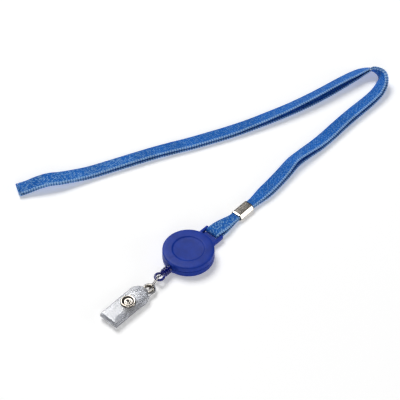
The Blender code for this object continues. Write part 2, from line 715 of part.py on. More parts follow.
def in_crimp(y, way):
    centre = np.array([CRIMP_X, y, CRIMP_Z + way * BRAID_SPACING / 2])
    return (centre, np.array([1.0, 0, 0]), np.array([0, 0, way * 1.0]), BRAID_IN_CRIMP / 2)


def braid_ring(station):
    centre, width, face, half = station
    thick = BRAID_THICKNESS / 2
    edge = 0.7
    section = [(half, -0.4 * thick), (half, 0.4 * thick), (half - edge, thick), (edge - half, thick)]
    section += [(-half, 0.4 * thick), (-half, -0.4 * thick), (edge - half, -thick), (half - edge, -thick)]
    return [centre + a * width + b * face for a, b in section]


def flipped(station):
    """The same station with its face the other way, for the way back."""
    centre, width, face, half = station
    return (centre, width, -face, half)


def build_lanyard_strap():
    """One strip of braid: out over the neck and back, through the crimp and round the lug's bar."""
    first, second = lanyard_layers()
    middle = (CRIMP_START + CRIMP_END) / 2
    away = first[-1][0] - first[-2][0]
    neck = bend_between(first[-1][0], second[-1][0], first[-1][1], first[-1][3], away, 6)
    stations = [in_crimp(middle + 0.3, 1)] + first + neck
    stations += [flipped(s) for s in second[::-1]]
    stations += [in_crimp(middle, -1), in_crimp(CRIMP_START + 1, -1)]
    stations += lug_loop()
    stations += [in_crimp(CRIMP_START + 1, 1), in_crimp(middle - 0.3, 1)]
    rings = [[Vector(p) for p in braid_ring(s)] for s in stations]
    return add("lanyard_strap", skin(rings), MATERIALS["blue_braid"])


def build_lanyard_crimp():
    """A pressed metal tube with flat facets, open at both ends."""
    w, h = CRIMP_HALF_WIDTH, CRIMP_HALF_HEIGHT
    outer = [(w, 0), (w - 1.1, h), (1.1 - w, h), (-w, 0), (1.1 - w, -h), (w - 1.1, -h)]
    rings = []
    for inset, y in ((0, CRIMP_START), (0, CRIMP_END), (CRIMP_WALL, CRIMP_END), (CRIMP_WALL, CRIMP_START)):
        shrink_x, shrink_z = (w - inset * 1.1) / w, (h - inset) / h
        rings.append([(CRIMP_X + x * shrink_x, y, CRIMP_Z + z * shrink_z) for x, z in outer])
    return add("lanyard_crimp", skin(rings, closed_path=True), MATERIALS["nickel"])


# ---------------------------------------------------------------- assembly

for old in list(bpy.data.objects):
    bpy.data.objects.remove(old)

MATERIALS = {
    "reel_plastic": material("reel_plastic", (0.035, 0.06, 0.29), 0.32),
    "spool_plastic": material("spool_plastic", (0.75, 0.75, 0.72), 0.45),
    "spring_steel": material("spring_steel", (0.42, 0.44, 0.48), 0.3, 1.0),
    "cord_nylon": material("cord_nylon", (0.02, 0.03, 0.12), 0.6),
    "plug_plastic": material("plug_plastic", (0.02, 0.035, 0.24), 0.25),
    "bright_wire": material("bright_wire", (0.75, 0.75, 0.76), 0.2, 1.0),
    "nickel": material("nickel", (0.72, 0.69, 0.64), 0.22, 1.0),
    "clear_vinyl": material("clear_vinyl", (0.9, 0.91, 0.92), 0.15, 0.0, 0.9),
    "blue_braid": material("blue_braid", (0.05, 0.17, 0.52), 0.8),
}

reel = body_empty("reel_body", (0, 0, 0))
spool_body = body_empty("spool_body", (0, 0, 0), reel)
cord_body = body_empty("cord_end_body", (0, -PLUG_START, CORD_HEIGHT), reel)
plug_body = body_empty("end_plug_body", (0, -PLUG_START, CORD_HEIGHT), cord_body)
link_body = body_empty("wire_link_body", (0, -LINK_NEAR_Y, CORD_HEIGHT), plug_body)
strap_body = body_empty("badge_strap_body", (EYELET_X, -LINK_FAR_Y, LINK_FAR_Z), link_body)
flap_body = body_empty("strap_flap_body", (0, -FOLD_Y, (LOWER_Z + UPPER_Z) / 2), strap_body)
lanyard_body = body_empty("lanyard_body", (0, LUG_BAR_Y, LUG_BAR_Z), reel)

PIECES = [
    (reel, (build_back_cover, build_front_cover, build_mainspring, build_cord_lead)),
    (spool_body, (build_spool, build_spring_cover_disc, build_cord_winding)),
    (cord_body, (build_cord_knot,)),
    (plug_body, (build_end_plug,)),
    (link_body, (build_wire_link,)),
    (strap_body, (build_strap_lower_leg, build_strap_fold, build_strap_eyelet, build_eyelet_washer)),
    (strap_body, (build_snap_stud, build_snap_post)),
    (flap_body, (build_strap_flap, build_snap_cap, build_snap_socket)),
    (lanyard_body, (build_lanyard_strap, build_lanyard_crimp)),
]
for body, builders in PIECES:
    for build in builders:
        attach(build(), body)
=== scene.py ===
"""The lanyard badge holder on a pale floor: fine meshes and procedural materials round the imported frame."""
import math

import bmesh
import bpy
import numpy as np
from mathutils import Matrix, Vector


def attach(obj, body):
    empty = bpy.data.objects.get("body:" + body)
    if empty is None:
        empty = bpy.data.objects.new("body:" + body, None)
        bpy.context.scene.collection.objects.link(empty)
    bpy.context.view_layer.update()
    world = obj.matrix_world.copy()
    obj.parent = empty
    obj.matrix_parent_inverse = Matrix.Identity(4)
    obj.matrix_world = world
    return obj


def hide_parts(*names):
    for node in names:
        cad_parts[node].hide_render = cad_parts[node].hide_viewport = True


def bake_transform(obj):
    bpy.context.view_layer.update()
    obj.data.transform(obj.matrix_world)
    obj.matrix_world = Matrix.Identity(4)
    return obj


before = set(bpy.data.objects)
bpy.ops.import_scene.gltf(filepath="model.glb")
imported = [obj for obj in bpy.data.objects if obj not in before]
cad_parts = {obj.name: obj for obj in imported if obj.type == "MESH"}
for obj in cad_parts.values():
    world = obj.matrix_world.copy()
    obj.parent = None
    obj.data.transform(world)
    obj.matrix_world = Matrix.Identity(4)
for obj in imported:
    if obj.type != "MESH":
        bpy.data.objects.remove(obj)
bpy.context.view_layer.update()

MM = 0.001


# ---------------------------------------------------------------- camera, floor and light

CAMERA_LENS, CAMERA_SENSOR, CAMERA_CLIP = 147.3, 36.0, 0.01
CAMERA_PLACE = (0.4425, -0.4809, 0.7568)
CAMERA_PITCH, CAMERA_HEADING = math.radians(42.8), math.radians(42.0)

# Round soft lights: name, place, target, diameter in metres, power in watts.
LIGHTS = [
    ("key", (-1.9, 0.65, 2.9), (-0.02, 0.06, 0), 2.0, 94.0),
    ("side_card", (1.7, 0.96, 0.45), (0, 0.03, 0.003), 0.9, 7.0),
    ("front_fill", (0.95, -1.1, 0.6), (0, 0, 0.004), 0.8, 4.0),
]

# The sky's strength goes from the first value to the second as a direction's upward part crosses the band.
SKY_BAND = (0.1, 0.6)
SKY_STRENGTH = (0.34, 1.72)

FLOOR_HALF_WIDTH, FLOOR_Z = 6.0, -0.0001
FLOOR_GREY, FLOOR_WHITE, FLOOR_GLOW = 0.93, 0.95, 0.3


def aim(obj, place, target):
    obj.location = place
    obj.rotation_euler = (Vector(target) - Vector(place)).to_track_quat("-Z", "Y").to_euler()


def add_camera():
    data = bpy.data.cameras.new("camera")
    data.lens = CAMERA_LENS
    data.sensor_width = CAMERA_SENSOR
    data.clip_start = CAMERA_CLIP
    camera = bpy.data.objects.new("camera", data)
    camera.location = CAMERA_PLACE
    camera.rotation_euler = (CAMERA_PITCH, 0, CAMERA_HEADING)
    bpy.context.scene.collection.objects.link(camera)
    bpy.context.scene.camera = camera


def add_area_light(name, place, target, size, power):
    data = bpy.data.lights.new(name, "AREA")
    data.shape = "DISK"
    data.size = size
    data.energy = power
    light = bpy.data.objects.new(name, data)
    aim(light, place, target)
    bpy.context.scene.collection.objects.link(light)


add_camera()
bpy.context.scene.view_settings.view_transform = "Standard"


# ---------------------------------------------------------------- node materials

def srgb(r, g, b):
    """A display colour from 0 to 255 as linear light."""
    return tuple((c / 255 / 12.92) if c <= 10 else ((c / 255 + 0.055) / 1.055) ** 2.4 for c in (r, g, b))


class Look:
    """A Principled material with short calls for the nodes that feed it."""

    def __init__(self, name, **values):
        self.mat = bpy.data.materials.new(name)
        self.mat.use_nodes = True
        self.tree = self.mat.node_tree
        self.shader = self.tree.nodes["Principled BSDF"]
        for key, value in values.items():
            self.shader.inputs[key.replace("_", " ")].default_value = value

    def node(self, kind, inputs=None, **props):
        made = self.tree.nodes.new(kind)
        for key, value in props.items():
            setattr(made, key, value)
        for key, value in (inputs or {}).items():
            self.feed(value, made.inputs[key])
        return made

    def feed(self, value, socket):
        if isinstance(value, bpy.types.NodeSocket):
            self.tree.links.new(value, socket)
        else:
            socket.default_value = value

    def math(self, operation, a, b=0.0):
        return self.node("ShaderNodeMath", {0: a, 1: b}, operation=operation).outputs[0]

    def place(self):
        return self.node("ShaderNodeTexCoord").outputs["Object"]

    def noise(self, scale, detail=3.0, stretch=(1, 1, 1), roughness=0.55):
        mapping = self.node("ShaderNodeMapping", {"Vector": self.place(), "Scale": stretch})
        made = self.node("ShaderNodeTexNoise", {
            "Vector": mapping.outputs[0], "Scale": scale, "Detail": detail, "Roughness": roughness})
        return made.outputs["Fac"]

    def ramp(self, value, low, high, to_low, to_high):
        made = self.node("ShaderNodeMapRange", {
            "Value": value, "From Min": low, "From Max": high, "To Min": to_low, "To Max": to_high})
        return made.outputs[0]

    def blend(self, factor, a, b):
        made = self.node("ShaderNodeMix", data_type="RGBA")
        for index, value in ((0, factor), (6, a), (7, b)):
            self.feed(value, made.inputs[index])
        return made.outputs[2]

    def colour(self, value):
        self.feed(value, self.shader.inputs["Base Color"])

    def rough(self, value):
        self.feed(value, self.shader.inputs["Roughness"])

    def bump(self, height, distance, strength):
        made = self.node("ShaderNodeBump", {"Height": height, "Distance": distance, "Strength": strength})
        self.feed(made.outputs[0], self.shader.inputs["Normal"])


def rgba(colour, scale=1.0):
    return (*[c * scale for c in colour], 1.0)


def moulded_plastic(name, colour, rough, grain=9000.0, shine=0.4):
    """Moulded plastic with fine spark texture, faint flow marks and handling scuffs."""
    look = Look(name, IOR=1.5, Specular_IOR_Level=shine)
    cloud = look.noise(140.0, 4.0)
    flow = look.noise(900.0, 3.0, (1, 0.25, 1))
    grit = look.noise(grain, 2.0)
    scuff = look.noise(2600.0, 5.0, (0.08, 1, 1))
    look.colour(look.blend(look.ramp(cloud, 0.35, 0.65, 0, 1), rgba(colour, 0.86), rgba(colour, 1.14)))
    worn = look.ramp(scuff, 0.62, 0.72, 0.0, 0.12)
    look.rough(look.math("ADD", look.ramp(flow, 0.3, 0.7, rough - 0.05, rough + 0.07), worn))
    look.bump(look.math("ADD", grit, look.math("MULTIPLY", scuff, 0.4)), 0.00003, 0.5)
    return look.mat


TARNISH = (0.93, 0.91, 0.88)


def plated_metal(name, colour, rough, grain=(1, 1, 1)):
    """Pressed and plated metal, with a fine polish grain and faint tarnish."""
    look = Look(name, Metallic=1.0)
    tarnish = look.noise(420.0, 5.0)
    polish = look.noise(5200.0, 3.0, grain)
    tint = look.ramp(tarnish, 0.4, 0.72, 0, 1)
    tarnished = [c * share for c, share in zip(colour, TARNISH)]
    look.colour(look.blend(tint, rgba(colour), rgba(tarnished)))
    look.rough(look.math("ADD", look.ramp(polish, 0.3, 0.7, rough - 0.02, rough + 0.03),
                         look.math("MULTIPLY", tint, 0.04)))
    look.bump(polish, 0.000005, 0.08)
    return look.mat


def clear_vinyl():
    """Clear flexible vinyl, slightly milky, with a soft haze and shallow ripples."""
    look = Look("clear_vinyl", IOR=1.53, Transmission_Weight=0.74, Coat_Weight=0.35, Coat_Roughness=0.05)
    haze = look.noise(260.0, 4.0)
    ripple = look.noise(170.0, 2.0, (1, 0.4, 1))
    grit = look.noise(4200.0, 2.0)
    milky, clear = rgba(srgb(205, 207, 213)), rgba(srgb(225, 227, 232))
    look.colour(look.blend(look.ramp(haze, 0.3, 0.7, 0, 1), milky, clear))
    look.rough(look.ramp(haze, 0.3, 0.7, 0.13, 0.2))
    look.bump(look.math("ADD", ripple, look.math("MULTIPLY", grit, 0.08)), 0.00012, 0.25)
    return look.mat


# The braid's pattern: pitches and edge in millimetres on the strip, and the slope of its yarns. Its painted
# glint fades along Y, between two places in metres.
YARN_PITCH, YARN_LEAN = 2.8, 1.15
EDGE_START, EDGE_FULL, EDGE_STITCH_PITCH = 3.5, 3.8, 3.4
GLINT_FADE_START, GLINT_FADE_END = 0.035, 0.055
YARN_SHADOW, YARN_LIT = srgb(2, 34, 126), srgb(24, 118, 216)
# The first colour here is a painted highlight along the braid's one edge, the second a painted glint on the
# yarn crowns.
EDGE_HIGHLIGHT, YARN_GLINT, CLOTH_SHEEN = srgb(178, 216, 250), srgb(150, 206, 248), srgb(150, 190, 245)


def braid_cloth():
    """Flat braid: two sets of slanting yarns that pass over and under each other, with a corded edge that
    carries a painted highlight, and painted glints on the yarn crowns.
    """
    look = Look("blue_braid", IOR=1.46, Specular_IOR_Level=0.15, Sheen_Weight=0.05, Sheen_Roughness=0.4)
    look.shader.inputs["Sheen Tint"].default_value = rgba(CLOTH_SHEEN)
    strip = look.node("ShaderNodeUVMap", uv_map="strip").outputs[0]
    split = look.node("ShaderNodeSeparateXYZ", {0: strip})
    along, across = split.outputs[0], split.outputs[1]
    pitch = math.tau / YARN_PITCH
    lean = look.math("MULTIPLY", across, YARN_LEAN)
    one = look.math("SINE", look.math("MULTIPLY", look.math("ADD", along, lean), pitch))
    two = look.math("SINE", look.math("MULTIPLY", look.math("SUBTRACT", along, lean), pitch))
    over = look.math("MULTIPLY", look.math("SINE", look.math("MULTIPLY", along, pitch / 2)),
                     look.math("SINE", look.math("MULTIPLY", lean, pitch / 2)))
    turn = look.ramp(over, -0.25, 0.25, 0, 1)
    yarn = look.math("ADD", look.math("MULTIPLY", look.math("ABSOLUTE", one), turn),
                     look.math("MULTIPLY", look.math("ABSOLUTE", two), look.math("SUBTRACT", 1.0, turn)))
    fibre = look.noise(6500.0, 3.0)
    # Painted highlight: a dotted light line on the strip's one edge only, where the braid's edge catches the
    # light.
    edge = look.ramp(across, EDGE_START, EDGE_FULL, 0, 1)
    stitch_turn = look.math("MULTIPLY", along, math.tau / EDGE_STITCH_PITCH)
    stitch = look.math("ABSOLUTE", look.math("SINE", stitch_turn))
    painted_edge_light = look.math("MULTIPLY", edge, look.math("POWER", stitch, 1.4))
    height = look.math("ADD", yarn, look.math("MULTIPLY", fibre, 0.35))
    patch = look.ramp(look.noise(95.0, 3.0), 0.35, 0.65, 0.9, 1.08)
    base = look.blend(look.ramp(yarn, 0.05, 0.85, 0, 1), rgba(YARN_SHADOW), rgba(YARN_LIT))
    base = look.blend(look.math("MULTIPLY", painted_edge_light, 0.85), base, rgba(EDGE_HIGHLIGHT))
    # Painted glint: light flecks on the yarn crowns, strongest near the reel and fading to about half along
    # Y.
    crown = look.ramp(yarn, 0.6, 0.92, 0, 1)
    spark = look.math("MULTIPLY", crown, look.ramp(look.noise(850.0, 2.0), 0.47, 0.58, 0, 1))
    forward = look.node("ShaderNodeSeparateXYZ", {0: look.place()}).outputs[1]
    fade = look.ramp(forward, GLINT_FADE_START, GLINT_FADE_END, 0.95, 0.5)
    base = look.blend(look.math("MULTIPLY", spark, fade), base, rgba(YARN_GLINT))
    tone = look.node("ShaderNodeHueSaturation", {"Color": base, "Value": patch})
    look.colour(tone.outputs[0])
    look.rough(look.ramp(fibre, 0.3, 0.7, 0.5, 0.72))
    look.bump(height, 0.00016, 0.8)
    return look.mat


def floor_paper():
    """Matt white paper that gives off a little light of its own, so that it reads white."""
    look = Look("floor_paper", Roughness=0.9)
    look.shader.inputs["Specular IOR Level"].default_value = 0.1
    look.shader.inputs["Emission Color"].default_value = (1, 1, 1, 1)
    look.shader.inputs["Emission Strength"].default_value = FLOOR_GLOW
    tone = look.ramp(look.noise(3.0, 2.0), 0.3, 0.7, 0, 1)
    look.colour(look.blend(tone, rgba([FLOOR_GREY] * 3), rgba([FLOOR_WHITE] * 3)))
    return look.mat


LOOKS = {
    "reel_plastic": moulded_plastic("reel_plastic", srgb(25, 58, 160), 0.4, shine=0.16),
    "spool_plastic": moulded_plastic("spool_plastic", srgb(226, 225, 216), 0.45),
    "spring_steel": plated_metal("spring_steel", srgb(150, 156, 172), 0.28, (1, 1, 0.1)),
    "cord_nylon": moulded_plastic("cord_nylon", srgb(22, 28, 70), 0.6, 16000.0),
    "plug_plastic": moulded_plastic("plug_plastic", srgb(8, 20, 118), 0.1, shine=0.75),
    "bright_wire": plated_metal("bright_wire", srgb(128, 126, 126), 0.12),
    "nickel": plated_metal("nickel", srgb(192, 186, 178), 0.16),
    "clear_vinyl": clear_vinyl(),
    "blue_braid": braid_cloth(),
}


# ---------------------------------------------------------------- meshes, in millimetres

def publish(name, bm, slot, body, replaced, smooth=32.0):
    """A shown piece from a bmesh in millimetres, with its material, its body and what it stands for."""
    bmesh.ops.scale(bm, vec=(MM, MM, MM), verts=bm.verts)
    bmesh.ops.recalc_face_normals(bm, faces=bm.faces)
    mesh = bpy.data.meshes.new(name)
    bm.to_mesh(mesh)
    bm.free()
    mesh.shade_smooth()
    mesh.set_sharp_from_angle(angle=math.radians(smooth))
    mesh.materials.append(LOOKS[slot])
    obj = bpy.data.objects.new(name, mesh)
    bpy.context.scene.collection.objects.link(obj)
    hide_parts(*replaced)
    if body:
        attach(obj, body)
    return obj


def skin(rings, closed_path=False, cap=True):
    """A bmesh through rings of points, each ring closed; a ring of one point is a pole."""
    bm = bmesh.new()
    loops = [[bm.verts.new(p) for p in ring] for ring in rings]
    pairs = list(zip(loops, loops[1:]))
    if closed_path:
        pairs.append((loops[-1], loops[0]))
    for a, b in pairs:
        count = max(len(a), len(b))
        for i in range(count):
            j = (i + 1) % count
            corners = [a[i % len(a)], a[j % len(a)], b[j % len(b)], b[i % len(b)]]
            bm.faces.new(list(dict.fromkeys(corners)))
    if cap and not closed_path:
        for loop in (loops[0], loops[-1]):
            if len(loop) > 2:
                bm.faces.new(loop)
    return bm


def eased_share(value):
    """0 to 1 with a soft start and a soft end."""
    value = min(1.0, max(0.0, value))
    return value * value * (3 - 2 * value)


def eased(corners, closed=True, steps=5):
    """A polygon with each corner (x, y, radius) rounded off."""
    out = []
    count = len(corners)
    for i, (x, y, radius) in enumerate(corners):
        at_end = not closed and i in (0, count - 1)
        if radius <= 0 or at_end:
            out.append((x, y))
            continue
        here = Vector((x, y))
        before = Vector(corners[i - 1][:2]) - here
        after = Vector(corners[(i + 1) % count][:2]) - here
        reach = min(radius, 0.48 * before.length, 0.48 * after.length)
        start, end = here + before.normalized() * reach, here + after.normalized() * reach
        for k in range(steps + 1):
            t = k / steps
            p = start * (1 - t) ** 2 + here * 2 * t * (1 - t) + end * t * t
            out.append((p.x, p.y))
    return out


def lathe(profile, segments=128):
    """A profile of (radius, height) turned about Z; points at radius 0 are poles."""
    rings = []
    for radius, height in profile:
        if radius < 1e-6:
            rings.append([(0, 0, height)])
        else:
            angles = (math.tau * i / segments for i in range(segments))
            rings.append([(radius * math.cos(a), radius * math.sin(a), height) for a in angles])
    return skin(rings, closed_path=not any(len(r) == 1 for r in rings), cap=False)


def rotated(bm, angle, axis, centre=(0, 0, 0)):
    bmesh.ops.rotate(bm, verts=bm.verts, cent=centre, matrix=Matrix.Rotation(angle, 3, axis))
    return bm


def moved(bm, offset):
    bmesh.ops.translate(bm, verts=bm.verts, vec=offset)
    return bm


def joined(base, *others, operation="UNION"):
    """base with the other bmeshes united with it or cut from it."""
    result = base
    for other in others:
        objs = []
        for bm in (result, other):
            bmesh.ops.recalc_face_normals(bm, faces=bm.faces)
            mesh = bpy.data.meshes.new("shape")
            bm.to_mesh(mesh)
            bm.free()
            obj = bpy.data.objects.new("shape", mesh)
            bpy.context.scene.collection.objects.link(obj)
            objs.append(obj)
        modifier = objs[0].modifiers.new("join", "BOOLEAN")
        modifier.operation = operation
        modifier.object = objs[1]
        modifier.solver = "EXACT"
        evaluated = objs[0].evaluated_get(bpy.context.evaluated_depsgraph_get())
        result = bmesh.new()
        result.from_mesh(evaluated.to_mesh())
        evaluated.to_mesh_clear()
        for obj in objs:
            mesh = obj.data
            bpy.data.objects.remove(obj)
            bpy.data.meshes.remove(mesh)
    return result


# ---------------------------------------------------------------- lanyard: the crimp, two runs of braid and the loop round the lug

BRAID_WIDTH, BRAID_THICKNESS, BRAID_SPACING, BRAID_IN_CRIMP = 9.5, 1.1, 1.5, 6.0
CRIMP_START, CRIMP_END, CRIMP_X, CRIMP_Z = 43.0, 55.5, 1.2, 2.45
LUG_BAR_Y, LUG_BAR_Z, LUG_BAR_RADIUS = 23.3, 2.6, 1.0
TABLE_GAP = 0.1
SELVEDGE_PITCH = 1.3
SPREAD_LENGTH = 18
CRIMP_HALF_WIDTH, CRIMP_HALF_HEIGHT, CRIMP_WALL = 4.3, 2.25, 0.45
CRIMP_LIP, CRIMP_LIP_LENGTH = 0.16, 0.35
STATION_STEP, NECK_STEPS, LUG_STEPS = 0.42, 14, 20

# The doubled lanyard from the crimp to the neck fold, in metres: x, y, z of the middle of its two layers,
# then their roll about the route and how far they fan open on the outer edge, both in degrees.
LANYARD_ROUTE = [
    (0.0012, 0.0555, 0.00245, 0, 0), (0.0011, 0.061, 0.0021, 3, 2),
    (0.0008, 0.068, 0.0020, 6, 6), (0.0001, 0.080, 0.0022, 8, 8),
    (-0.0012, 0.092, 0.0024, 10, 10), (-0.0026, 0.103, 0.0029, 17, 14),
    (-0.0022, 0.114, 0.0027, 14, 12), (-0.0015, 0.125, 0.0022, 8, 10),
    (-0.0014, 0.135, 0.0021, 6, 8), (-0.0018, 0.146, 0.0022, 8, 9),
    (-0.0021, 0.158, 0.0023, 10, 10), (-0.0020, 0.170, 0.0024, 11, 10),
    (-0.0018, 0.181, 0.0026, 15, 8), (-0.0022, 0.19, 0.0032, 22, 5),
    (-0.0042, 0.1972, 0.0042, 38, 3), (-0.0078, 0.2024, 0.0049, 66, 1),
    (-0.0122, 0.2043, 0.005, 104, 0), (-0.0176, 0.204, 0.0046, 134, 0),
    (-0.0214, 0.1986, 0.0041, 151, 2), (-0.0236, 0.1902, 0.0041, 160, 9),
    (-0.0259, 0.1796, 0.004, 163, 17), (-0.0283, 0.1672, 0.0038, 165, 21),
    (-0.0313, 0.1543, 0.0035, 166, 20), (-0.0355, 0.1396, 0.003, 167, 16),
    (-0.0405, 0.1248, 0.0026, 170, 12), (-0.0458, 0.1105, 0.0022, 171, 8),
    (-0.0514, 0.097, 0.0019, 175, 6), (-0.0575, 0.084, 0.0018, 176, 5),
    (-0.0637, 0.0714, 0.00175, 176, 5), (-0.0702, 0.0594, 0.0018, 175, 6),
    (-0.0764, 0.047, 0.0019, 174, 7), (-0.0822, 0.0344, 0.0019, 174, 7),
    (-0.0878, 0.022, 0.0019, 175, 6), (-0.0933, 0.0095, 0.0022, 177, 4),
    (-0.0978, 0.0, 0.0032, 180, 2), (-0.1022, -0.0088, 0.0046, 183, 0),
    (-0.1062, -0.0148, 0.0052, 184, 0), (-0.1098, -0.0206, 0.0044, 183, 0),
    (-0.1132, -0.0262, 0.0028, 180, 2), (-0.1160, -0.0312, 0.0021, 180, 4),
]
# Half the braid's thickness in millimetres, by the share of its half width from the middle to the edge.
HALF_THICKNESS = {0.0: 0.46, 0.25: 0.455, 0.5: 0.44, 0.75: 0.41, 0.82: 0.5, 0.9: 0.55, 0.965: 0.42, 1.0: 0.16}
ACROSS = [-s for s in reversed(HALF_THICKNESS) if s] + list(HALF_THICKNESS)


def smooth(rows, step):
    """A centripetal Catmull-Rom curve through rows of numbers whose first three are a position."""
    table = np.array(rows, float)
    ends = np.vstack([2 * table[0] - table[1], table, 2 * table[-1] - table[-2]])
    knots = np.concatenate([[0], np.cumsum(np.linalg.norm(np.diff(ends[:, :3], axis=0), axis=1) ** 0.5)])
    out = []
    for i in range(1, len(ends) - 2):
        p0, p1, p2, p3 = ends[i - 1:i + 3]
        t0, t1, t2, t3 = knots[i - 1:i + 3]
        pieces = max(1, round(float(np.linalg.norm((p2 - p1)[:3])) / step))
        for k in range(pieces):
            t = t1 + (t2 - t1) * k / pieces
            a1 = (t1 - t) / (t1 - t0) * p0 + (t - t0) / (t1 - t0) * p1
            a2 = (t2 - t) / (t2 - t1) * p1 + (t - t1) / (t2 - t1) * p2
            a3 = (t3 - t) / (t3 - t2) * p2 + (t - t2) / (t3 - t2) * p3
            b1 = (t2 - t) / (t2 - t0) * a1 + (t - t0) / (t2 - t0) * a2
            b2 = (t3 - t) / (t3 - t1) * a2 + (t - t1) / (t3 - t1) * a3
            out.append((t2 - t) / (t2 - t1) * b1 + (t - t1) / (t2 - t1) * b2)
    out.append(table[-1])
    return np.array(out)


def unit(v):
    return v / np.linalg.norm(v)


def braid_half_width(travelled):
    """The braid spreads from the crimp to its full width."""
    share = eased_share(travelled / SPREAD_LENGTH)
    return (BRAID_IN_CRIMP + (BRAID_WIDTH - BRAID_IN_CRIMP) * share) / 2


def lanyard_layers(step):
    """Stations (centre, width direction, face normal, half width) of the two layers, crimp to neck."""
    rows = smooth([(x / MM, y / MM, z / MM, roll, fan) for x, y, z, roll, fan in LANYARD_ROUTE], step)
    centres = rows[:, :3]
    up = np.array([0, 0, 1.0])
    travelled = np.concatenate([[0], np.cumsum(np.linalg.norm(np.diff(centres, axis=0), axis=1))])
    first, second = [], []
    for i, (x, y, z, roll, fan) in enumerate(rows):
        along = unit(centres[min(i + 1, len(rows) - 1)] - centres[max(i - 1, 0)])
        side = unit(np.cross(along, up))
        over = np.cross(side, along)
        half = braid_half_width(travelled[i])
        spacing = BRAID_SPACING + half * math.sin(math.radians(fan))
        middle = math.radians(roll)
        normal = math.cos(middle) * over - math.sin(middle) * side
        pair = []
        for way in (1, -1):
            own = middle + way * math.radians(fan) / 2
            width = math.cos(own) * side + math.sin(own) * over
            face = math.cos(own) * over - math.sin(own) * side
            pair.append((np.array([x, y, z]) + way * spacing / 2 * normal, width, face, half))
        lowest = min(c[2] - abs(w[2]) * h - abs(f[2]) * BRAID_THICKNESS / 2 for c, w, f, h in pair)
        lift = max(0.0, TABLE_GAP - lowest) * up
        for layers, (centre, width, face, half) in zip((first, second), pair):
            layers.append((centre + lift, width, face, half))
    return first, second


def bend_between(start, end, width, half, outward, steps):
    """Stations of the half turn that joins two layers."""
    middle, radius = (start + end) / 2, (start - end) / 2
    reach = unit(outward) * np.linalg.norm(radius)
    stations = []
    for i in range(1, steps):
        a = math.pi * i / steps
        offset = math.cos(a) * radius + math.sin(a) * reach
        stations.append((middle + offset, width, unit(offset), half))
    return stations


def lug_loop():
    """Stations from the crimp's lower layer, under and round the lug's bar, to its upper layer."""
    layer = BRAID_SPACING / 2
    wrap = LUG_BAR_RADIUS + 0.25 + BRAID_THICKNESS / 2
    width, up = np.array([1.0, 0, 0]), np.array([0, 0, 1.0])
    lower, upper = [], []
    count = 44
    for i in range(-8, count + 1):
        share = max(0.0, i / count)
        y = CRIMP_START + (LUG_BAR_Y - CRIMP_START) * i / count
        x = CRIMP_X * (1 - share)
        z = CRIMP_Z + (LUG_BAR_Z - CRIMP_Z) * share
        off = layer + (wrap - layer) * eased_share(share)
        half = braid_half_width((CRIMP_START - y) * 1.2)
        lower.append((np.array([x, y, z - off]), width, -up, half))
        upper.append((np.array([x, y, z + off]), width, up, half))
    outward = np.array([0, -1.0, 0])
    bend = bend_between(lower[-1][0], upper[-1][0], width, BRAID_WIDTH / 2, outward, LUG_STEPS)
    return lower + bend + upper[::-1]


def ribbon(name, stations, body):
    """A strip of flat braid with corded, dotted edges; its strip map runs along and across in millimetres."""
    centres = np.array([s[0] for s in stations])
    run = np.concatenate([[0], np.cumsum(np.linalg.norm(np.diff(centres, axis=0), axis=1))])
    verts, strip = [], []
    for u, (centre, width, face, half) in zip(run, stations):
        dot = 0.5 - 0.5 * math.cos(math.tau * u / SELVEDGE_PITCH)
        ring = [(s, 1) for s in ACROSS] + [(s, -1) for s in reversed(ACROSS)]
        for s, side in ring:
            corded = abs(s) > 0.78
            reach = half * s + (0.1 * dot * math.copysign(1, s) if abs(s) > 0.93 else 0.0)
            height = HALF_THICKNESS[abs(s)] * (0.84 + 0.16 * dot if corded else 1.0)
            verts.append(centre + reach * width + side * height * face)
            strip.append((u, s * BRAID_WIDTH / 2))
    n = 2 * len(ACROSS)
    faces = []
    for i in range(len(stations) - 1):
        a, b = i * n, (i + 1) * n
        faces += [(a + k, a + (k + 1) % n, b + (k + 1) % n, b + k) for k in range(n)]
    last = (len(stations) - 1) * n
    for base in (0, last):
        faces += [(base + k, base + k + 1, base + n - 2 - k, base + n - 1 - k)
                  for k in range(len(ACROSS) - 1)]
    mesh = bpy.data.meshes.new(name)
    mesh.from_pydata([tuple(v * MM) for v in verts], [], faces)
    layer = mesh.uv_layers.new(name="strip")
    index = np.empty(len(mesh.loops), int)
    mesh.loops.foreach_get("vertex_index", index)
    layer.data.foreach_set("uv", np.array(strip)[index].ravel())
    bm = bmesh.new()
    bm.from_mesh(mesh)
    bmesh.ops.recalc_face_normals(bm, faces=bm.faces)
    bm.to_mesh(mesh)
    bm.free()
    mesh.shade_smooth()
    mesh.materials.append(LOOKS["blue_braid"])
    obj = bpy.data.objects.new(name, mesh)
    bpy.context.scene.collection.objects.link(obj)
    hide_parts("lanyard_strap")
    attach(obj, body)
    return obj, [tuple(c * MM) for c in centres], run[-1] * MM


def build_crimp():
    """The pressed crimp: a flattened tube with soft facets and a pinch line on each face."""
    rings = []
    for inset, flare, ys in ((0.0, 1, np.linspace(CRIMP_START, CRIMP_END, 26)),
                             (CRIMP_WALL, -1, np.linspace(CRIMP_END, CRIMP_START, 26))):
        for y in ys:
            end = min(y - CRIMP_START, CRIMP_END - y)
            lip = CRIMP_LIP * max(0.0, 1 - end / CRIMP_LIP_LENGTH) ** 2 * flare
            half, high = CRIMP_HALF_WIDTH - inset * 1.1 - lip, CRIMP_HALF_HEIGHT - inset - lip
            corners = [(half, -0.3, 0.5), (half - 1.9, high, 0.25), (1.1 - half, high, 0.6),
                       (-half, 0, 0.5), (1.1 - half, -high, 0.6), (half - 1.1, -high, 0.6)]
            rings.append([(CRIMP_X + x, y, CRIMP_Z + z) for x, z in eased(corners, steps=4)])
    return publish("crimp_tube", skin(rings, closed_path=True), "nickel", "lanyard", ("lanyard_crimp",), 28)


